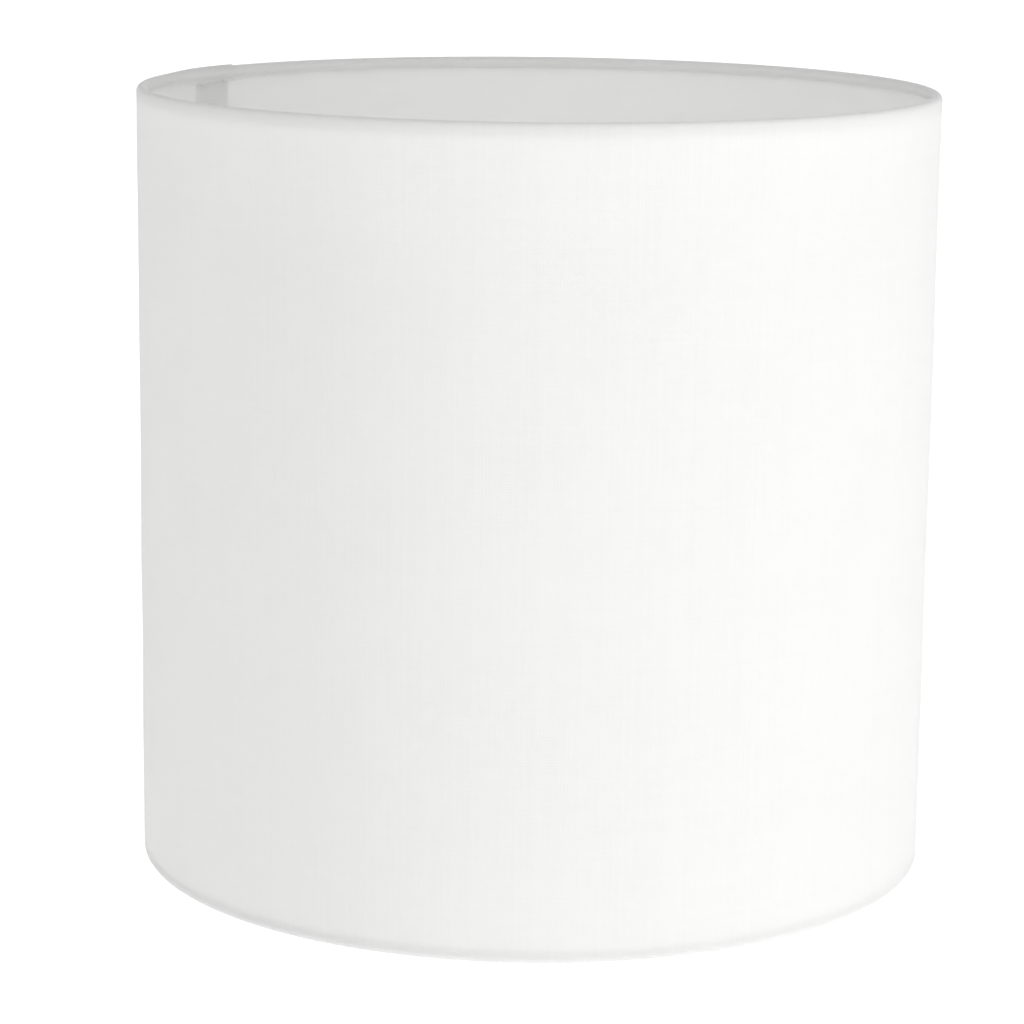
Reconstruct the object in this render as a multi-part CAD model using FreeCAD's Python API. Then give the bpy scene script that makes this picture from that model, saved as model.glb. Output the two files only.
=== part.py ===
"""Drum lamp shade: a fabric cover on a stiff liner, rolled round two wire rings.

Millimetres, +Z up. The origin is at the centre of the ring on which the shade
stands, level with its lowest hem. The shade opens upward, and its fitting is
recessed above the lower ring on three spokes.
"""

import FreeCAD, Part
import math
import os

# ---- driving dimensions ------------------------------------------------------------------

SHADE_DIAMETER = 300.0        # outside of the cover, away from its lap
SHADE_HEIGHT = 293.0          # lowest hem to highest hem

FABRIC_THICKNESS = 0.4        # cotton cover
LINER_THICKNESS = 0.35        # stiff lining sheet behind the cover
LAP_WIDTH = 22.0              # how far the cover's outer end laps over its inner end
LAP_AZIMUTH = 154.5           # degrees from +X, where the lap starts
LINER_JOINT = 0.3             # slit where the two ends of the lining butt together

RING_WIRE = 2.0               # diameter of the wire of both rings
RING_TAPE_THICKNESS = 0.2     # double-sided tape along both edges of the lining
RING_TAPE_WIDTH = 2.0
SEAM_TAPE_THICKNESS = 0.15    # double-sided tape under the lap
SEAM_TAPE_MARGIN = 2.0        # tape stays this far inside the lap, all round

SPOKE_WIRE = 2.0              # diameter of the spokes' wire
SPOKE_BEND = 7.0              # radius of the spokes' bends, at the wire's centre
SPOKE_FOOT = 9.0              # level run of a spoke beside its ring
SPOKE_RISE_RUN = 12.0         # how far inward a spoke travels as it climbs
SPOKE_SINK = 0.4              # depth to which a spoke is welded into the fitter
SPOKE_OVERLAP = 3.5           # how far a spoke's end lies over the fitter
HEM_NOTCH_CLEARANCE = 0.2     # round a spoke, where it leaves the lower hem

FITTER_RECESS = 18.0          # lowest hem to the fitter's underside
FITTER_BORE = 42.0            # hole for a 40 mm lampholder thread
FITTER_RIM = 9.0              # flat width of the fitter, round its hole
FITTER_THICKNESS = 2.0
FITTER_EDGE = 0.4             # rounding of the fitter's outer corners

REDUCER_BORE = 29.0           # hole for a 28 mm lampholder thread
REDUCER_FLANGE_LIP = 3.0      # how far the reducer's flange lies over the fitter
REDUCER_FLANGE_THICKNESS = 1.6
REDUCER_FIT = 0.3             # radial clearance of the reducer in the fitter's hole
REDUCER_SHORT = 0.2           # the reducer's skirt stops this far above the fitter's underside
REDUCER_WALL = 1.6            # walls of its skirt and its collar
REDUCER_RIB = 1.4             # thickness of its ribs
REDUCER_RIBS = 6
REDUCER_EDGE = 0.5            # chamfer of its flange

LONGEST_ARC = 30.0            # degrees: a round section is made of arcs no longer than this

SPOKES = {"spoke_rear": 90.0, "spoke_left": 210.0, "spoke_right": 330.0}   # name: azimuth

# ---- worked out from them ----------------------------------------------------------------

OUTER_RADIUS = SHADE_DIAMETER / 2
WALL_INSIDE = OUTER_RADIUS - FABRIC_THICKNESS          # the cover's inner face
LINER_INSIDE = WALL_INSIDE - LINER_THICKNESS
RING_SECTION = RING_WIRE / 2
TAPE_INSIDE = LINER_INSIDE - RING_TAPE_THICKNESS       # the ring is pressed against this
RING_RADIUS = TAPE_INSIDE - RING_SECTION               # from the axis to the wire's centre
SHOULDER = WALL_INSIDE - RING_RADIUS                   # inside of the cover's turn over a ring
TUCK_TURN = (SHOULDER + RING_SECTION) / 2              # inside of its turn down behind the ring
TUCK_RISE = SHOULDER - TUCK_TURN                       # centre of that turn, past the ring's centre
LOWER_RING_Z = SHOULDER + FABRIC_THICKNESS             # the straight wall runs from ring to ring
UPPER_RING_Z = SHADE_HEIGHT - LOWER_RING_Z

FLAP_INSIDE = OUTER_RADIUS + SEAM_TAPE_THICKNESS
FLAP_OUTSIDE = FLAP_INSIDE + FABRIC_THICKNESS
LAP_ANGLE = math.degrees(LAP_WIDTH / OUTER_RADIUS)
LAP_END = LAP_AZIMUTH - LAP_ANGLE

FITTER_INSIDE = FITTER_BORE / 2
FITTER_OUTSIDE = FITTER_INSIDE + FITTER_RIM
FITTER_TOP = FITTER_RECESS + FITTER_THICKNESS
SPOKE_Z = FITTER_TOP + SPOKE_WIRE / 2 - SPOKE_SINK
SPOKE_START = FITTER_OUTSIDE - SPOKE_OVERLAP

REDUCER_INSIDE = REDUCER_BORE / 2
REDUCER_SKIRT = FITTER_INSIDE - REDUCER_FIT
REDUCER_FLANGE = FITTER_INSIDE + REDUCER_FLANGE_LIP
REDUCER_BOTTOM = FITTER_RECESS + REDUCER_SHORT
REDUCER_TOP = FITTER_TOP + REDUCER_FLANGE_THICKNESS

ORIGIN = FreeCAD.Vector(0, 0, 0)
UP = FreeCAD.Vector(0, 0, 1)


# ---- sections and turned solids ----------------------------------------------------------

def at(r, z):
    """A point of the half-plane through the axis."""
    return FreeCAD.Vector(r, 0, z)


def line(start, end):
    return Part.LineSegment(at(*start), at(*end)).toShape()


def arc(centre, radius, start, end):
    """Part of a circle in the half-plane, by its angles in degrees from +r."""
    points = []
    for angle in (start, (start + end) / 2, end):
        a = math.radians(angle)
        points.append(at(centre[0] + radius * math.cos(a), centre[1] + radius * math.sin(a)))
    return Part.Arc(*points).toShape()


def arcs(centre, radius, start, end):
    """The same stretch of circle as a run of short arcs."""
    count = math.ceil(abs(end - start) / LONGEST_ARC)
    step = (end - start) / count
    return [arc(centre, radius, start + i * step, start + (i + 1) * step) for i in range(count)]


def turned(edges, start=0.0, sweep=360.0):
    """The solid that a closed outline sweeps about the axis, from the azimuth start."""
    outline = Part.Wire(Part.sortEdges(edges)[0])
    face = Part.Face(outline)
    face.rotate(ORIGIN, UP, start)
    return face.revolve(ORIGIN, UP, sweep)


def band(inside, outside, bottom, top, start=0.0, sweep=360.0):
    """A turned rectangle: a washer, a tube or part of one."""
    corners = [(inside, bottom), (outside, bottom), (outside, top), (inside, top)]
    edges = [line(a, b) for a, b in zip(corners, corners[1:] + corners[:1])]
    return turned(edges, start, sweep)


# ---- cover and lining --------------------------------------------------------------------

def hem_edges(ring_z, side):
    """One rolled hem of the cover: over the ring, down its inner side and back to the tape."""
    turn_z = ring_z + side * TUCK_RISE
    inner_z = ring_z - side * RING_SECTION
    outer_z = inner_z - side * FABRIC_THICKNESS

    def shoulder(radius):
        return arcs((RING_RADIUS, ring_z), radius, 0, side * 90)

    def half_turn(radius, start, end):
        return arcs((RING_RADIUS, turn_z), radius, side * start, side * end)

    tuck = [
        line((RING_RADIUS, outer_z), (TAPE_INSIDE, outer_z)),
        line((TAPE_INSIDE, outer_z), (TAPE_INSIDE, inner_z)),
        line((TAPE_INSIDE, inner_z), (RING_RADIUS, inner_z)),
    ]
    outer_face = shoulder(SHOULDER + FABRIC_THICKNESS) + half_turn(TUCK_TURN + FABRIC_THICKNESS, 90, 270)
    inner_face = half_turn(TUCK_TURN, 270, 90) + shoulder(SHOULDER)
    return outer_face + tuck + inner_face


def spoke_passages():
    """The holes that the spokes take through the lower hem."""
    radius = SPOKE_WIRE / 2 + HEM_NOTCH_CLEARANCE
    start = at(RING_RADIUS + HEM_NOTCH_CLEARANCE, LOWER_RING_Z)
    reach = TUCK_TURN + FABRIC_THICKNESS + 2 * HEM_NOTCH_CLEARANCE
    passages = []
    for azimuth in SPOKES.values():
        passage = Part.makeCylinder(radius, reach, start, at(-1, 0))
        passage.rotate(ORIGIN, UP, azimuth)
        passages.append(passage)
    return passages


def make_cover():
    edges = [line((OUTER_RADIUS, LOWER_RING_Z), (OUTER_RADIUS, UPPER_RING_Z))]
    edges += hem_edges(UPPER_RING_Z, 1)
    edges += [line((WALL_INSIDE, UPPER_RING_Z), (WALL_INSIDE, LOWER_RING_Z))]
    edges += hem_edges(LOWER_RING_Z, -1)
    cover = turned(edges)
    riser_angle = math.degrees(FABRIC_THICKNESS / OUTER_RADIUS)
    flap = band(FLAP_INSIDE, FLAP_OUTSIDE, LOWER_RING_Z, UPPER_RING_Z, LAP_END, LAP_ANGLE)
    riser = band(WALL_INSIDE, FLAP_OUTSIDE, LOWER_RING_Z, UPPER_RING_Z,
                 LAP_AZIMUTH - riser_angle, riser_angle)
    return cover.fuse([riser, flap]).cut(spoke_passages()).removeSplitter()


def make_liner():
    slit = math.degrees(LINER_JOINT / LINER_INSIDE)
    return band(LINER_INSIDE, WALL_INSIDE, LOWER_RING_Z, UPPER_RING_Z,
                LAP_AZIMUTH + slit, 360.0 - slit)


def make_seam_tape():
    margin = math.degrees(SEAM_TAPE_MARGIN / OUTER_RADIUS)
    return band(OUTER_RADIUS, FLAP_INSIDE, LOWER_RING_Z + SEAM_TAPE_MARGIN,
                UPPER_RING_Z - SEAM_TAPE_MARGIN, LAP_END + margin, LAP_ANGLE - 2 * margin)


# ---- rings and their tape ----------------------------------------------------------------

def make_ring(ring_z):
    return turned(arcs((RING_RADIUS, ring_z), RING_SECTION, 0, 360))


def make_ring_tape(bottom):
    """The tape between a ring and the lining, which also holds the hem's raw edge."""
    return band(TAPE_INSIDE, LINER_INSIDE, bottom, bottom + RING_TAPE_WIDTH)


# ---- spokes, fitter and reducer ----------------------------------------------------------

def spoke_path():
    """The wire's centre line, from the fitter out to the lower ring, bends included."""
    corners = [
        at(SPOKE_START, SPOKE_Z),
        at(RING_RADIUS - SPOKE_FOOT - SPOKE_RISE_RUN, SPOKE_Z),
        at(RING_RADIUS - SPOKE_FOOT, LOWER_RING_Z),
        at(RING_RADIUS, LOWER_RING_Z),
    ]
    edges = []
    start = corners[0]
    for before, corner, after in zip(corners, corners[1:], corners[2:]):
        arriving = (corner - before).normalize()
        leaving = (after - corner).normalize()
        turn = arriving.getAngle(leaving)
        back = SPOKE_BEND * math.tan(turn / 2)
        inward = (leaving - arriving).normalize()
        depth = SPOKE_BEND / math.cos(turn / 2) - SPOKE_BEND
        first = corner - arriving * back
        last = corner + leaving * back
        edges.append(Part.LineSegment(start, first).toShape())
        edges.append(Part.Arc(first, corner + inward * depth, last).toShape())
        start = last
    edges.append(Part.LineSegment(start, corners[-1]).toShape())
    return Part.Wire(edges)


def make_spoke(azimuth, ring, fitter):
    section = Part.Wire(Part.makeCircle(SPOKE_WIRE / 2, at(SPOKE_START, SPOKE_Z), at(1, 0)))
    spoke = spoke_path().makePipeShell([section], True, False)
    spoke = Part.Solid(spoke) if spoke.ShapeType == "Shell" else spoke
    spoke.rotate(ORIGIN, UP, azimuth)
    return spoke.cut(ring).cut(fitter)


def make_fitter():
    fitter = band(FITTER_INSIDE, FITTER_OUTSIDE, FITTER_RECESS, FITTER_TOP)
    rims = [e for e in fitter.Edges if is_rim(e, FITTER_OUTSIDE)]
    return fitter.makeFillet(FITTER_EDGE, rims)


def is_rim(edge, radius):
    """True for a circle of this radius about the axis."""
    if not isinstance(edge.Curve, Part.Circle):
        return False
    return abs(edge.Curve.Radius - radius) < 1e-6


def make_reducer():
    flange = band(REDUCER_INSIDE, REDUCER_FLANGE, FITTER_TOP, REDUCER_TOP)
    top_rim = [e for e in flange.Edges if is_rim(e, REDUCER_FLANGE) and e.Curve.Center.z > FITTER_TOP]
    flange = flange.makeChamfer(REDUCER_EDGE, top_rim)
    skirt = band(REDUCER_SKIRT - REDUCER_WALL, REDUCER_SKIRT, REDUCER_BOTTOM, FITTER_TOP)
    collar = band(REDUCER_INSIDE, REDUCER_INSIDE + REDUCER_WALL, REDUCER_BOTTOM, FITTER_TOP)
    ribs = []
    rib_start = REDUCER_INSIDE + REDUCER_WALL / 2
    rib_length = REDUCER_SKIRT - REDUCER_WALL / 2 - rib_start
    for i in range(REDUCER_RIBS):
        rib = Part.makeBox(rib_length, REDUCER_RIB, FITTER_TOP - REDUCER_BOTTOM)
        rib.translate(FreeCAD.Vector(rib_start, -REDUCER_RIB / 2, REDUCER_BOTTOM))
        rib.rotate(ORIGIN, UP, i * 360.0 / REDUCER_RIBS)
        ribs.append(rib)
    return flange.fuse([skirt, collar] + ribs).removeSplitter()


# ---- every piece, one file each ----------------------------------------------------------

def make_pieces():
    lower_ring = make_ring(LOWER_RING_Z)
    fitter = make_fitter()
    pieces = {
        "fabric_cover": make_cover(),
        "pvc_liner": make_liner(),
        "seam_tape": make_seam_tape(),
        "top_ring": make_ring(UPPER_RING_Z),
        "top_ring_tape": make_ring_tape(UPPER_RING_Z - RING_TAPE_WIDTH),
        "bottom_ring": lower_ring,
        "bottom_ring_tape": make_ring_tape(LOWER_RING_Z),
        "fitter_ring": fitter,
        "reducer_ring": make_reducer(),
    }
    for name, azimuth in SPOKES.items():
        pieces[name] = make_spoke(azimuth, lower_ring, fitter)
    return pieces


os.makedirs("parts", exist_ok=True)
for name, shape in make_pieces().items():
    print(f"{name}: {len(shape.Solids)} solid, valid {shape.isValid()}, {shape.Volume:.2f} mm3")
    shape.exportStep(f"parts/{name}.step")
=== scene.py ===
"""Looks of the drum lamp shade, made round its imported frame. Metres, +Z up."""

import math

import bpy
import numpy as np
from mathutils import Matrix, Vector


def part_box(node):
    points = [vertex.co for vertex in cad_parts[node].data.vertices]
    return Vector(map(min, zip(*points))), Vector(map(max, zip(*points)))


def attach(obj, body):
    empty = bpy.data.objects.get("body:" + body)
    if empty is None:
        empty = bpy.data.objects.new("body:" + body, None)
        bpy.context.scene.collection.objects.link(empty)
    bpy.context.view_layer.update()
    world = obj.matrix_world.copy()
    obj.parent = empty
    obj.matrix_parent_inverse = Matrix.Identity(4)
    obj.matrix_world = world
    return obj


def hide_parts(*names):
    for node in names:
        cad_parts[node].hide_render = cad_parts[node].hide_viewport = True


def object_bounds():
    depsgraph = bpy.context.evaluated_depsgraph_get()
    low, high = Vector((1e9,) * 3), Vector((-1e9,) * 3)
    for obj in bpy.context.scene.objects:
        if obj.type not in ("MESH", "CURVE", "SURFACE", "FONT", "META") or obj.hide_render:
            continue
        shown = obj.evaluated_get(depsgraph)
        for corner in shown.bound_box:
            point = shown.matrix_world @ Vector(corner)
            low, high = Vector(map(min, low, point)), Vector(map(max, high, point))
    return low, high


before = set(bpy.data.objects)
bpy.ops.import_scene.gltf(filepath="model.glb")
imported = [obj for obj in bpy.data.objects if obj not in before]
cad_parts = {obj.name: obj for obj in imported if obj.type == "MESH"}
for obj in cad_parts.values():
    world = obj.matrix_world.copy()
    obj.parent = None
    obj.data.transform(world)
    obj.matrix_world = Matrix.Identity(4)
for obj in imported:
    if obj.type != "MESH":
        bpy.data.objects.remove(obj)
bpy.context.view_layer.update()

MM = 0.001
SEED = 20


# ---- sizes, from the frame ---------------------------------------------------------------

def tenth(value):
    """The value to the nearest 0.1 mm, which takes out the facets of the frame's round parts."""
    return round(value, 4)


def on_grid(value):
    """The same to the nearest 0.05 mm."""
    return round(value * 20000) / 20000


SHADE_RADIUS = tenth(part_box("fabric_cover")[1].x)
SHADE_TOP = tenth(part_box("fabric_cover")[1].z)
LINER_OUT = on_grid(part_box("pvc_liner")[1].x)
FABRIC = SHADE_RADIUS - LINER_OUT
TAPE_OUT = on_grid(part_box("top_ring_tape")[1].x)
LINER = LINER_OUT - TAPE_OUT
LOWER_RING_Z = on_grid(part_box("pvc_liner")[0].z)
UPPER_RING_Z = on_grid(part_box("pvc_liner")[1].z)
WIRE_RADIUS = on_grid((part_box("top_ring")[1].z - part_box("top_ring")[0].z) / 2)
RING_RADIUS = on_grid(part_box("top_ring")[1].x) - WIRE_RADIUS
TAPE_IN = RING_RADIUS + WIRE_RADIUS
SPOKE_RADIUS = on_grid(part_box("spoke_rear")[1].x)

LAP_AZIMUTH = math.radians(154.5)      # where the cover's inner end lies, from +X
LAP_TURN = 22 * MM / SHADE_RADIUS      # how far its outer end goes on past that
LAP_LIFT = FABRIC + 0.15 * MM          # on the wall the outer end lies on the inner one and its tape
HEM_LIFT = FABRIC + 0.03 * MM          # in the hems it lies on the inner one alone
LAP_CLIMB = math.radians(11)           # turn over which the cover climbs onto its inner end
LAP_STEP = math.radians(0.3)           # last of that turn, where it has climbed all the way
SPOKE_AZIMUTHS = [math.radians(a) for a in (90, 210, 330)]


# ---- noise that repeats each run ---------------------------------------------------------

def waves(seed, count, shortest, longest):
    """A smooth random function of turn (radians) and height, made of waves of mixed length (metres)."""
    rng = np.random.default_rng(seed)
    lengths = np.exp(rng.uniform(math.log(shortest), math.log(longest), count))
    heading = rng.uniform(0, math.tau, count)
    phase = rng.uniform(0, math.tau, count)
    size = rng.uniform(0.5, 1, count)
    size /= math.sqrt((size ** 2).sum() / 2)
    across = np.rint(np.cos(heading) * math.tau * SHADE_RADIUS / lengths)
    along = np.sin(heading) * math.tau / lengths

    def value(turn, height):
        total = np.zeros(np.broadcast(turn, height).shape)
        for k in range(count):
            total += size[k] * np.sin(across[k] * turn + along[k] * height + phase[k])
        return total

    return value


def smooth(x):
    x = np.clip(x, 0, 1)
    return x * x * (3 - 2 * x)


wall_waves = waves(SEED + 3, 16, 45 * MM, 220 * MM)
WALL_WAVINESS = 0.10 * MM
WALL_FADE = 14 * MM          # the wall is held round by a ring for this far from it


def wall_bulge(turn, height):
    """How far the wall, cover and lining together, stands off a true cylinder."""
    away = np.minimum(height - LOWER_RING_Z, UPPER_RING_Z - height)
    return wall_waves(turn, height) * WALL_WAVINESS * smooth(away / WALL_FADE)


# ---- the cover's section -----------------------------------------------------------------

def arc_points(centre, radius, start, end, count):
    """Points of an arc after its first, with the direction away from the arc's centre."""
    points = []
    for i in range(1, count + 1):
        a = math.radians(start + (end - start) * i / count)
        outward = (math.cos(a), math.sin(a))
        points.append((centre[0] + radius * outward[0], centre[1] + radius * outward[1], *outward))
    return points


HEM_STEPS = {"shoulder": 4, "turn": 8, "slope": 3, "corner": 3, "tail": 3}
HEM_SLOPE = 228          # where the cover leaves the ring's turn, in degrees round it from outward
TAIL_CORNER = 0.5 * MM   # radius of its bend onto the lining
TAIL_GAP = 0.05 * MM     # between the hem's tail and the ring's tape


def hem_path(lift, tail):
    """The middle of the cover's thickness from the top of the wall to the hem's raw edge.

    Each point is (radius, height over the ring's centre, outward direction). The path goes over
    the ring, slopes from its inner side to the lining and runs down that for the length of the tail.
    """
    half = FABRIC / 2
    shoulder = LINER_OUT + half - RING_RADIUS
    turn = (shoulder - half + WIRE_RADIUS) / 2 + half
    rise = shoulder - turn
    tail_r = TAPE_IN - half - lift - TAIL_GAP
    path = arc_points((RING_RADIUS, 0), shoulder + lift, 0, 90, HEM_STEPS["shoulder"])
    path += arc_points((RING_RADIUS, rise), turn + lift, 90, HEM_SLOPE, HEM_STEPS["turn"])
    r, z, out_r, out_z = path[-1]
    centre_r = tail_r - TAIL_CORNER
    run = (centre_r - TAIL_CORNER * out_r - r) / -out_z
    for i in range(1, HEM_STEPS["slope"] + 1):
        part = run * i / HEM_STEPS["slope"]
        path.append((r - out_z * part, z + out_r * part, out_r, out_z))
    centre = (centre_r, z + out_r * run + TAIL_CORNER * out_z)
    corner = arc_points(centre, TAIL_CORNER, HEM_SLOPE - 180, 0, HEM_STEPS["corner"])
    for r, z, corner_r, corner_z in corner:
        path.append((r, z, -corner_r, -corner_z))
    for i in range(1, HEM_STEPS["tail"] + 1):
        path.append((tail_r, centre[1] - tail * i / HEM_STEPS["tail"], -1, 0))
    return np.array(path)


WALL_STEPS = 24
HEM_BLEND = 5 * MM       # the lap rises from its lift in the hem to its lift on the wall over this


def wall_heights():
    """Rows of the wall, closer near the hems."""
    near = np.array([0, 0.25, 0.5, 0.75, 1]) * HEM_BLEND
    middle = np.linspace(LOWER_RING_Z + HEM_BLEND, UPPER_RING_Z - HEM_BLEND, WALL_STEPS + 1)
    return np.concatenate([LOWER_RING_Z + near[:-1], middle, UPPER_RING_Z - near[-2::-1]])


def cover_section(climb, tail_up, tail_down):
    """The whole path, from the lower hem's raw edge to the upper hem's.

    The climb is 0 where the cover lies on the lining, and 1 where it laps over its inner end.
    """
    upper = hem_path(climb * HEM_LIFT, tail_up)
    upper[:, 1] += UPPER_RING_Z
    lower = hem_path(climb * HEM_LIFT, tail_down)
    lower[:, 1] = LOWER_RING_Z - lower[:, 1]
    lower[:, 3] = -lower[:, 3]
    heights = wall_heights()
    away = np.minimum(heights - LOWER_RING_Z, UPPER_RING_Z - heights)
    wall = np.zeros((len(heights), 4))
    lift = HEM_LIFT + (LAP_LIFT - HEM_LIFT) * smooth(away / HEM_BLEND)
    wall[:, 0] = LINER_OUT + FABRIC / 2 + climb * lift
    wall[:, 1] = heights
    wall[:, 2] = 1
    return np.vstack([lower[::-1], wall, upper])


# ---- building meshes ---------------------------------------------------------------------

def new_object(name, verts, faces, uvs=None):
    mesh = bpy.data.meshes.new(name)
    mesh.from_pydata([tuple(v) for v in verts], [], faces)
    if uvs is not None:
        layer = mesh.uv_layers.new(name="cloth")
        corner = np.zeros(len(mesh.loops), np.int32)
        mesh.loops.foreach_get("vertex_index", corner)
        layer.data.foreach_set("uv", np.asarray(uvs, np.float32)[corner].ravel())
    mesh.validate()
    ob = bpy.data.objects.new(name, mesh)
    bpy.context.scene.collection.objects.link(ob)
    return ob


def shade_smooth(ob, angle=35):
    ob.data.shade_smooth()
    ob.data.set_sharp_from_angle(angle=math.radians(angle))


def sheet_mesh(name, outer, inner, uv, skip=None):
    """A closed sheet from two grids of points, (columns, rows, 3), one for each face."""
    columns, rows = outer.shape[:2]
    count = columns * rows
    verts = np.concatenate([outer.reshape(-1, 3), inner.reshape(-1, 3)])
    kept = np.ones((columns + 1, rows + 1), bool)
    kept[0, :] = kept[-1, :] = False
    kept[:, 0] = kept[:, -1] = False
    if skip is not None:
        kept[1:-1, 1:-1] &= ~skip
    faces = []
    for i in range(columns - 1):
        for j in range(rows - 1):
            if not kept[i + 1, j + 1]:
                continue
            a = i * rows + j
            b = a + rows
            faces.append((a, a + 1, b + 1, b))
            faces.append((count + a, count + b, count + b + 1, count + a + 1))
            if not kept[i, j + 1]:
                faces.append((a, count + a, count + a + 1, a + 1))
            if not kept[i + 2, j + 1]:
                faces.append((b + 1, count + b + 1, count + b, b))
            if not kept[i + 1, j]:
                faces.append((b, count + b, count + a, a))
            if not kept[i + 1, j + 2]:
                faces.append((a + 1, count + a + 1, count + b + 1, b + 1))
    return new_object(name, verts, faces, np.concatenate([uv.reshape(-1, 2)] * 2))


def to_xyz(radius, azimuth, height):
    return np.stack([radius * np.cos(azimuth), radius * np.sin(azimuth), height], -1)


# ---- the cover ---------------------------------------------------------------------------

COLUMN_STEP = math.radians(0.6)
CLOSEST_COLUMNS = math.radians(0.02)
LAP_START_TURN = math.radians(1)             # extra columns stand over this much before the lap
SPOKE_COLUMNS = [0.12, 0.5, 0.9, 1.4, 2.0, 2.8]      # extra columns beside a spoke, mm from its middle
SLIT_HALF = 0.13 * MM                        # the hem is cut open this far to each side of a spoke

FRAYED_AZIMUTH = math.radians(146)           # the upper hem is roughest where the lap ends
FRAYED_WIDTH = 0.3                           # radians
TAIL = 0.3                                   # usual length of the hem's tail, mm
TAIL_SHORTEST = 0.1
TAIL_UNEVEN = 0.12
TAIL_FRAYS = 0.03
FRAYED_TAIL = 1.0                            # how much longer it is where it is roughest
FRAYED_FRAYS = 0.22
PUCKER = 0.045 * MM                          # height of the small puckers in the hems
PUCKER_ROWS = 4 * MM                         # length that a hem's rows stand for in them


def cover_turns():
    """Where the cover's columns stand, in turn from its inner end: closer at the lap and the spokes."""
    whole = math.tau + LAP_TURN
    turns = list(np.linspace(0, whole, round(whole / COLUMN_STEP) + 1))
    turns += list(np.linspace(math.tau - LAP_START_TURN, math.tau, 4))
    for azimuth in SPOKE_AZIMUTHS:
        centre = (LAP_AZIMUTH - azimuth) % math.tau
        for side in (-1, 1):
            for across in SPOKE_COLUMNS:
                turns.append(centre + side * across * MM / RING_RADIUS)
    turns = np.array(sorted(turns))
    apart = np.diff(turns, prepend=-1) > CLOSEST_COLUMNS
    return turns[apart]


def turned_from(azimuth, centre):
    """The turn from the centre to each azimuth, between minus and plus half a turn."""
    return np.angle(np.exp(1j * (azimuth - centre)))


def make_cover():
    """The strip of cloth with both hems, from its inner end round to the end that laps over it."""
    turns = cover_turns()
    azimuths = LAP_AZIMUTH - turns
    climbs = smooth((turns - (math.tau - LAP_CLIMB)) / (LAP_CLIMB - LAP_STEP))
    edge = waves(SEED + 1, 14, 7 * MM, 60 * MM)
    frays = waves(SEED + 2, 10, 2.5 * MM, 8 * MM)
    rough_zone = np.exp(-(turned_from(azimuths, FRAYED_AZIMUTH) / FRAYED_WIDTH) ** 2)
    tails = []
    for which in (0.0, 1.0):       # the lower hem, then the upper one
        rough = rough_zone * which
        uneven = edge(turns, which) * TAIL_UNEVEN
        uneven += frays(turns, which) * (TAIL_FRAYS + FRAYED_FRAYS * rough)
        tails.append(np.maximum(TAIL_SHORTEST, TAIL + uneven + FRAYED_TAIL * rough) * MM)
    sections = np.stack([cover_section(*row) for row in zip(climbs, tails[1], tails[0])])
    radius, height, out_r, out_z = np.moveaxis(sections, -1, 0)
    turn = np.broadcast_to(turns[:, None], radius.shape)

    # how far each row is into a hem: 0 on the wall, 1 at the raw edge
    rows = radius.shape[1]
    hem_rows = sum(HEM_STEPS.values())
    index = np.arange(rows)
    into = np.clip(np.maximum(hem_rows - index, index - (rows - 1 - hem_rows)) / hem_rows, 0, 1)
    pucker = waves(SEED + 4, 22, 4 * MM, 11 * MM)
    bulge = wall_bulge(turn, height)
    in_hem = smooth((into - 0.2) * 3)[None, :]
    bulge = bulge + pucker(turn, into[None, :] * PUCKER_ROWS) * PUCKER * in_hem
    radius = radius + bulge * out_r
    height = height + bulge * out_z

    half = FABRIC / 2
    azimuth = np.broadcast_to(azimuths[:, None], radius.shape)
    azimuth = azimuth + spoke_openings(azimuth, height, index < hem_rows)
    outer = to_xyz(radius + out_r * half, azimuth, height + out_z * half)
    inner = to_xyz(radius - out_r * half, azimuth, height - out_z * half)
    along = np.concatenate([[0], np.cumsum(np.hypot(*np.diff(sections[0, :, :2], axis=0).T))])
    uv = np.stack([turn * SHADE_RADIUS, np.broadcast_to(along[None, :], radius.shape)], -1)
    uv[..., 1] += LOWER_RING_Z - along[hem_rows]
    skip = np.zeros((len(turns) - 1, rows - 1), bool)
    middle = (azimuths[1:] + azimuths[:-1]) / 2
    for spoke in SPOKE_AZIMUTHS:
        near = abs(turned_from(middle, spoke)) * RING_RADIUS < SLIT_HALF
        skip[near, :hem_rows - HEM_STEPS["shoulder"] - HEM_STEPS["turn"] // 3] = True
    cover = sheet_mesh("cover", outer, inner, uv, skip)
    shade_smooth(cover, 40)
    return cover


SLIT_CLEARANCE = 0.25 * MM
SLIT_REACH = 7 * MM          # the cloth moves aside as far as this from a spoke


def spoke_openings(azimuth, height, in_lower_hem):
    """How far points of the lower hem move aside, in radians, to open the slit round each spoke."""
    gap = SPOKE_RADIUS + SLIT_CLEARANCE
    moved = np.zeros_like(azimuth)
    for spoke in SPOKE_AZIMUTHS:
        across = turned_from(azimuth, spoke) * RING_RADIUS
        opening = np.sqrt(np.maximum(0, gap ** 2 - (height - LOWER_RING_Z) ** 2))
        share = np.clip(1 - abs(across) / SLIT_REACH, 0, 1)
        shift = np.sign(across) * opening * share
        moved += np.where(in_lower_hem[None, :], shift / RING_RADIUS, 0)
    return moved


# ---- the lining --------------------------------------------------------------------------

GLUE = 0.04 * MM         # the film of glue between the lining and the cover
LINING_SLIT = 0.3 * MM   # between its two ends
LINING_COLUMNS = 481


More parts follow.
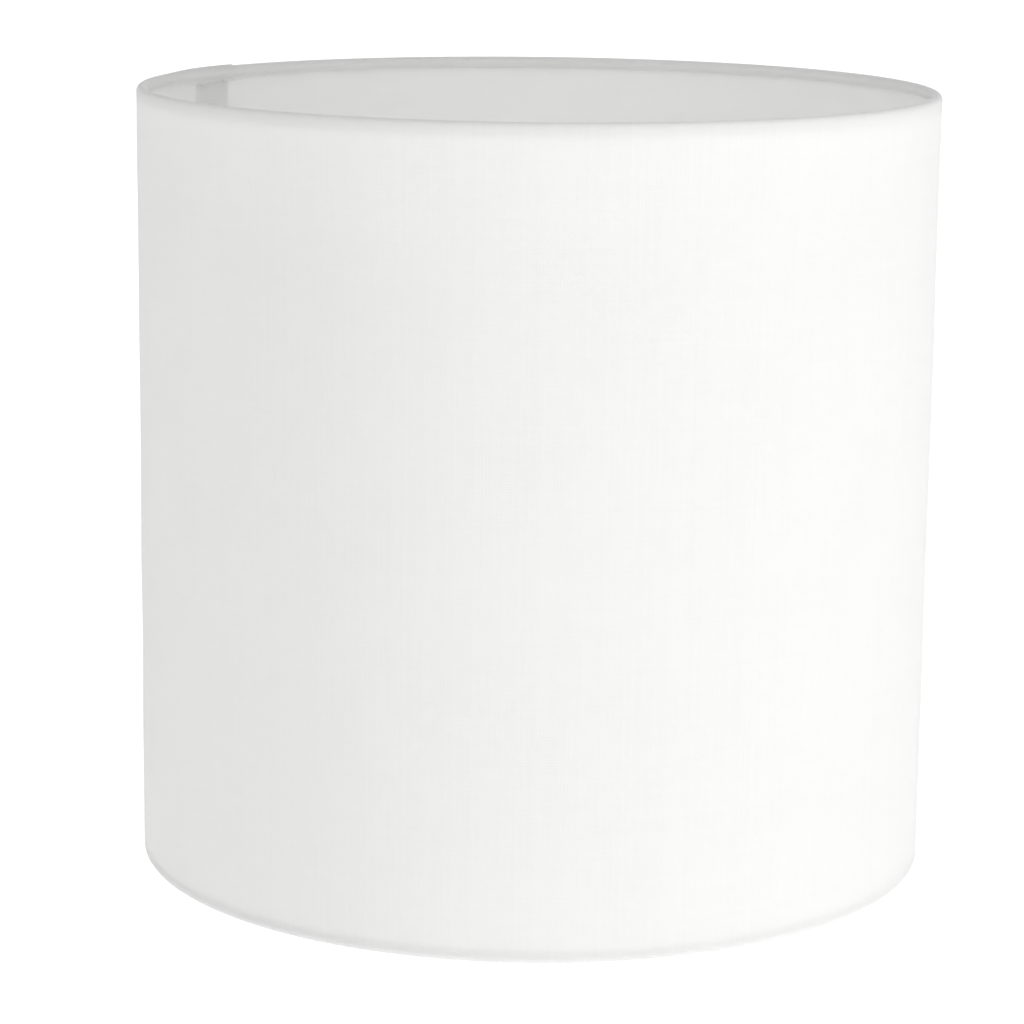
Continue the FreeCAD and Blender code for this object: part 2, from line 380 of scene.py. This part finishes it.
def make_lining():
    """The stiff sheet inside the cover, with its butt joint under the lap."""
    turns = np.linspace(0, math.tau - LINING_SLIT / TAPE_OUT, LINING_COLUMNS)
    azimuths = LAP_AZIMUTH - turns
    turn, height = np.meshgrid(turns, wall_heights(), indexing="ij")
    azimuth = np.broadcast_to(azimuths[:, None], turn.shape)
    bulge = wall_bulge(turn, height)
    outer = to_xyz(LINER_OUT - GLUE + bulge, azimuth, height)
    inner = to_xyz(TAPE_OUT + bulge, azimuth, height)
    uv = np.stack([turn * SHADE_RADIUS, height], -1)
    lining = sheet_mesh("lining", outer, inner, uv)
    shade_smooth(lining)
    return lining


# ---- materials ---------------------------------------------------------------------------

class Nodes:
    """Short calls for building a node tree."""

    def __init__(self, name):
        self.material = bpy.data.materials.new(name)
        self.material.use_nodes = True
        self.tree = self.material.node_tree
        self.shader = next(n for n in self.tree.nodes if n.type == "BSDF_PRINCIPLED")

    def add(self, kind, **settings):
        node = self.tree.nodes.new(kind)
        for key, value in settings.items():
            setattr(node, key, value)
        return node

    def put(self, value, socket):
        if isinstance(value, bpy.types.NodeSocket):
            self.tree.links.new(value, socket)
        else:
            socket.default_value = value

    def math(self, operation, *values):
        node = self.add("ShaderNodeMath", operation=operation)
        for value, socket in zip(values, node.inputs):
            self.put(value, socket)
        return node.outputs[0]

    def mix(self, share, low, high):
        """A colour between low and high."""
        node = self.add("ShaderNodeMix", data_type="RGBA")
        self.put(share, node.inputs["Factor"])
        self.put(low, node.inputs[6])
        self.put(high, node.inputs[7])
        return node.outputs[2]

    def span(self, value, low, high, to_low=0.0, to_high=1.0):
        """The value's range low..high stretched to another range."""
        node = self.add("ShaderNodeMapRange")
        for v, name in ((value, "Value"), (low, "From Min"), (high, "From Max"),
                        (to_low, "To Min"), (to_high, "To Max")):
            self.put(v, node.inputs[name])
        return node.outputs[0]

    def combine(self, x, y, z=0.0):
        node = self.add("ShaderNodeCombineXYZ")
        for value, socket in zip((x, y, z), node.inputs):
            self.put(value, socket)
        return node.outputs[0]

    def noise(self, vector, scale, detail=2.0, rough=0.5):
        node = self.add("ShaderNodeTexNoise")
        self.put(vector, node.inputs["Vector"])
        node.inputs["Scale"].default_value = scale
        node.inputs["Detail"].default_value = detail
        node.inputs["Roughness"].default_value = rough
        return node.outputs["Fac"]

    def white(self, value, seed=0.0):
        node = self.add("ShaderNodeTexWhiteNoise", noise_dimensions="2D")
        self.put(self.combine(value, seed), node.inputs["Vector"])
        return node.outputs["Value"]

    def bump(self, height, distance, strength=1.0):
        node = self.add("ShaderNodeBump")
        self.put(height, node.inputs["Height"])
        node.inputs["Distance"].default_value = distance
        node.inputs["Strength"].default_value = strength
        self.put(node.outputs["Normal"], self.shader.inputs["Normal"])

    def object_point(self):
        return self.add("ShaderNodeTexCoord").outputs["Object"]

    def set(self, **values):
        for name, value in values.items():
            self.put(value, self.shader.inputs[name.replace("_", " ")])


def grey(value):
    return (value, value, value, 1.0)


def cloth_axes(n):
    """Distance round the drum and distance up the cloth, in metres."""
    uv = n.add("ShaderNodeUVMap", uv_map="cloth")
    parts = n.add("ShaderNodeSeparateXYZ")
    n.put(uv.outputs["UV"], parts.inputs[0])
    return parts.outputs[0], parts.outputs[1]


def thread_set(n, across, along, pitch, seed):
    """One set of parallel yarns.

    Returns the height of a yarn's round back, the yarn's number, the place across the yarns, a
    random share of its own for each yarn, and its thicker and thinner stretches.
    """
    wander = n.combine(n.math("MULTIPLY", across, 130.0), n.math("MULTIPLY", along, 22.0), seed)
    drift = n.noise(wander, 1.0, detail=0.0)
    place = n.math("ADD", n.math("DIVIDE", across, pitch), n.math("MULTIPLY", drift, 0.6))
    number = n.math("FLOOR", place)
    side = n.math("SUBTRACT", n.math("MULTIPLY", n.math("FRACT", place), 2.0), 1.0)
    back = n.math("SUBTRACT", 1.0, n.math("MULTIPLY", side, side))
    own = n.white(number, seed)
    length = n.combine(n.math("MULTIPLY", number, 3.7), n.math("MULTIPLY", along, 38.0), seed)
    slub = n.noise(length, 1.0, detail=2.0, rough=0.6)
    return back, number, place, own, slub


WARP_PITCH = 0.5 * MM
WEFT_PITCH = 0.56 * MM


def cotton_material():
    """White cotton in a plain weave, with slightly uneven yarns, and painted shade in the hollows
    between the yarns.
    """
    n = Nodes("white_cotton")
    u, v = cloth_axes(n)
    warp_back, warp_number, _, warp_own, warp_slub = thread_set(n, u, v, WARP_PITCH, 1.5)
    weft_back, _, weft_place, weft_own, weft_slub = thread_set(n, v, u, WEFT_PITCH, 7.5)
    over = n.math("ADD", weft_place, n.math("SUBTRACT", warp_number, 0.5))
    over = n.math("COSINE", n.math("MULTIPLY", over, math.pi))
    warp_up = n.span(over, -1.0, 1.0, 0.25, 1.0)
    weft_up = n.span(over, -1.0, 1.0, 1.0, 0.25)
    warp = n.math("MULTIPLY", warp_back, warp_up)
    weft = n.math("MULTIPLY", weft_back, weft_up)
    weave = n.math("MAXIMUM", warp, weft)
    fat = n.math("ADD", n.math("MULTIPLY", warp_slub, 0.6), n.math("MULTIPLY", weft_slub, 0.35))
    fat = n.math("ADD", fat, n.math("MULTIPLY", warp_own, 0.25))
    fat = n.math("ADD", fat, n.math("MULTIPLY", weft_own, 0.12))
    cloud = n.noise(n.object_point(), 26.0, detail=3.0)
    shade = n.span(fat, 0.35, 0.95)
    shade = n.math("ADD", n.math("MULTIPLY", shade, 0.65), n.math("MULTIPLY", cloud, 0.35))
    thread = n.mix(shade, (0.93, 0.93, 0.926, 1), (0.965, 0.965, 0.962, 1))
    # Painted shade: the colour is darkened where the weave is low, in the hollows between the yarns.
    painted_gap_shade = n.span(weave, 0.0, 0.5, 0.94, 1.0)
    colour = n.add("ShaderNodeMix", data_type="RGBA", blend_type="MULTIPLY")
    colour.inputs["Factor"].default_value = 1.0
    n.put(thread, colour.inputs[6])
    n.put(n.combine(painted_gap_shade, painted_gap_shade, painted_gap_shade), colour.inputs[7])
    n.put(colour.outputs[2], n.shader.inputs["Base Color"])
    n.put(n.span(fat, 0.3, 1.0, 0.92, 0.8), n.shader.inputs["Roughness"])
    n.set(Sheen_Weight=0.12, Sheen_Roughness=0.5, Specular_IOR_Level=0.2)
    height = n.math("ADD", weave, n.math("MULTIPLY", fat, 0.7))
    n.bump(height, 0.06 * MM, 0.6)
    let_light_through(n, 0.45)
    return n.material


def let_light_through(n, share):
    """This share of the light that meets the sheet goes on through it, scattered."""
    through = n.add("ShaderNodeBsdfTranslucent")
    n.put(n.shader.inputs["Base Color"].links[0].from_socket, through.inputs["Color"])
    n.put(n.shader.inputs["Normal"].links[0].from_socket, through.inputs["Normal"])
    both = n.add("ShaderNodeMixShader")
    both.inputs["Fac"].default_value = share
    n.put(n.shader.outputs["BSDF"], both.inputs[1])
    n.put(through.outputs["BSDF"], both.inputs[2])
    output = next(node for node in n.tree.nodes if node.type == "OUTPUT_MATERIAL")
    n.put(both.outputs["Shader"], output.inputs["Surface"])


def lining_material():
    """Stiff translucent white plastic sheet, slightly clouded and rubbed along its length."""
    n = Nodes("white_lining")
    u, v = cloth_axes(n)
    point = n.combine(u, v)
    cloud = n.noise(point, 34.0, detail=3.0)
    grain = n.noise(point, 900.0, detail=2.0)
    drawn = n.combine(n.math("MULTIPLY", u, 12.0), n.math("MULTIPLY", v, 90.0))
    rub = n.noise(drawn, 2.0, detail=3.0)
    shade = n.math("ADD", n.math("MULTIPLY", cloud, 0.6), n.math("MULTIPLY", grain, 0.4))
    colour = n.mix(shade, (0.955, 0.955, 0.952, 1), (0.985, 0.985, 0.982, 1))
    n.put(colour, n.shader.inputs["Base Color"])
    n.put(n.span(rub, 0.3, 0.7, 0.42, 0.6), n.shader.inputs["Roughness"])
    n.set(Specular_IOR_Level=0.35)
    n.bump(n.math("ADD", grain, n.math("MULTIPLY", rub, 0.6)), 0.03 * MM, 0.5)
    let_light_through(n, 0.6)
    return n.material


def coated_metal_material(name, bumps, thick, thin):
    """White epoxy powder coating over steel: slight orange peel, a little duller where it is thin."""
    n = Nodes(name)
    point = n.object_point()
    peel = n.noise(point, bumps, detail=2.0)
    wear = n.noise(point, 95.0, detail=4.0, rough=0.6)
    n.put(n.mix(n.span(wear, 0.35, 0.7), grey(thick), grey(thin)), n.shader.inputs["Base Color"])
    n.put(n.span(peel, 0.3, 0.7, 0.32, 0.48), n.shader.inputs["Roughness"])
    n.set(Specular_IOR_Level=0.5)
    n.bump(peel, 0.04 * MM, 0.6)
    return n.material


def moulded_plastic_material():
    """White moulded plastic with a fine spark-eroded grain."""
    n = Nodes("white_plastic")
    point = n.object_point()
    grain = n.noise(point, 2600.0, detail=2.0)
    flow = n.noise(point, 60.0, detail=3.0)
    n.put(n.mix(flow, grey(0.76), grey(0.82)), n.shader.inputs["Base Color"])
    n.put(n.span(grain, 0.3, 0.7, 0.38, 0.5), n.shader.inputs["Roughness"])
    n.bump(grain, 0.02 * MM, 0.6)
    return n.material


def tape_material():
    """Thin double-sided tape: a hazy film with faint creases."""
    n = Nodes("double_sided_tape")
    point = n.object_point()
    crease = n.noise(point, 240.0, detail=3.0, rough=0.7)
    n.put(n.mix(crease, (0.92, 0.92, 0.905, 1), (0.96, 0.96, 0.95, 1)), n.shader.inputs["Base Color"])
    n.put(n.span(crease, 0.3, 0.7, 0.35, 0.6), n.shader.inputs["Roughness"])
    n.bump(crease, 0.05 * MM, 0.4)
    let_light_through(n, 0.7)
    return n.material


def dress(ob, material):
    """Gives the whole piece one material."""
    ob.data.materials.clear()
    ob.data.materials.append(material)


# ---- put together ------------------------------------------------------------------------

cover = make_cover()
dress(cover, cotton_material())
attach(cover, "shade")
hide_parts("fabric_cover")

lining = make_lining()
dress(lining, lining_material())
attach(lining, "shade")
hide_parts("pvc_liner")

# The rings carry a lighter copy of the spokes' white coating. This is painted light: it brightens the
# hem band that the cloth shows over the rings.
ring = coated_metal_material("white_coating_painted_lighter_ring", 1500.0, 0.93, 0.88)
spoke = coated_metal_material("white_coated_spoke", 1500.0, 0.80, 0.74)
stamped = coated_metal_material("white_coated_fitter", 1100.0, 0.78, 0.72)
tape = tape_material()
CAD_LOOKS = {
    "top_ring": ring, "bottom_ring": ring,
    "spoke_rear": spoke, "spoke_left": spoke, "spoke_right": spoke,
    "fitter_ring": stamped, "reducer_ring": moulded_plastic_material(),
    "top_ring_tape": tape, "bottom_ring_tape": tape, "seam_tape": tape,
}
for node, material in CAD_LOOKS.items():
    dress(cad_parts[node], material)


# ---- floor, light and camera -------------------------------------------------------------

FLOOR_HALF = 30.0


def make_floor():
    """A white floor that glows like a light table, level with the lowest hem."""
    size = FLOOR_HALF
    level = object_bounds()[0][2]
    corners = [(-size, -size, level), (size, -size, level), (size, size, level), (-size, size, level)]
    floor = new_object("floor", corners, [(0, 1, 2, 3)])
    n = Nodes("floor_white")
    n.put(n.mix(n.noise(n.object_point(), 3.0), grey(0.40), grey(0.42)), n.shader.inputs["Base Color"])
    n.set(Roughness=0.9, Specular_IOR_Level=0.1, Emission_Color=grey(1.0), Emission_Strength=0.9)
    dress(floor, n.material)


def area_light(name, place, aim, width, height, power):
    """A soft lamp, which the camera doesn't see."""
    lamp = bpy.data.lights.new(name, "AREA")
    lamp.shape = "ELLIPSE"
    lamp.size = width
    lamp.size_y = height
    lamp.energy = power
    ob = bpy.data.objects.new(name, lamp)
    ob.location = place
    ob.rotation_euler = (Vector(aim) - Vector(place)).to_track_quat("-Z", "Y").to_euler()
    ob.visible_camera = False
    bpy.context.scene.collection.objects.link(ob)


WORLD_AT_HORIZON = 0.77
WORLD_OVERHEAD = 0.64
LAMPS = {                    # name: (place, width, height, power in watts)
    "key": ((2.25, -1.65, 0.16), 1.0, 0.3, 22.0),
    "fill": ((0.1, -2.9, 0.75), 0.8, 0.8, 6.0),
    "back": ((0.1, 2.6, 0.5), 0.8, 0.8, 22.0),
}
GLOW_POWER = 0.14
GLOW_RADIUS = 0.03


def lamp_inside():
    """A weak glow where the bulb would be."""
    glow = bpy.data.lights.new("glow", "POINT")
    glow.energy = GLOW_POWER
    glow.shadow_soft_size = GLOW_RADIUS
    ob = bpy.data.objects.new("glow", glow)
    ob.location = (0, 0, SHADE_TOP * 0.55)
    ob.visible_camera = False
    bpy.context.scene.collection.objects.link(ob)


def make_light():
    """A bright surround, dimmer overhead, with soft lamps at the right, the front and the back."""
    world = bpy.data.worlds.new("studio")
    bpy.context.scene.world = world
    world.use_nodes = True
    tree = world.node_tree
    background = tree.nodes["Background"]
    direction = tree.nodes.new("ShaderNodeTexCoord").outputs["Generated"]
    height = tree.nodes.new("ShaderNodeSeparateXYZ")
    tree.links.new(direction, height.inputs[0])
    strength = tree.nodes.new("ShaderNodeMapRange")
    tree.links.new(height.outputs["Z"], strength.inputs["Value"])
    strength.inputs["To Min"].default_value = WORLD_AT_HORIZON
    strength.inputs["To Max"].default_value = WORLD_OVERHEAD
    tree.links.new(strength.outputs[0], background.inputs["Strength"])
    background.inputs["Color"].default_value = grey(1.0)
    middle = (0, 0, SHADE_TOP / 2)
    for name, (place, width, height, power) in LAMPS.items():
        area_light(name, place, middle, width, height, power)
    lamp_inside()


CAMERA_PLACE = (0, -8.593, 2.6536)        # in radii of the shade
CAMERA_AIM = (-0.0561, 0, 0.8666)
CAMERA_ROLL = 0.0112                      # radians
CAMERA_LENS = 120.55                      # mm, on a sensor 36 mm wide


def make_camera():
    """A little above the shade, looking slightly down, with a long lens."""
    data = bpy.data.cameras.new("camera")
    data.sensor_width = 36
    data.lens = CAMERA_LENS
    camera = bpy.data.objects.new("camera", data)
    place = Vector(CAMERA_PLACE) * SHADE_RADIUS
    forward = (Vector(CAMERA_AIM) * SHADE_RADIUS - place).normalized()
    level = forward.cross(Vector((0, 0, 1))).normalized()
    upright = level.cross(forward)
    right = level * math.cos(CAMERA_ROLL) + upright * math.sin(CAMERA_ROLL)
    up = upright * math.cos(CAMERA_ROLL) - level * math.sin(CAMERA_ROLL)
    camera.matrix_world = Matrix((right, up, -forward)).transposed().to_4x4()
    camera.location = place
    bpy.context.scene.collection.objects.link(camera)
    bpy.context.scene.camera = camera


make_floor()
make_light()
make_camera()
bpy.context.scene.view_settings.view_transform = "Standard"
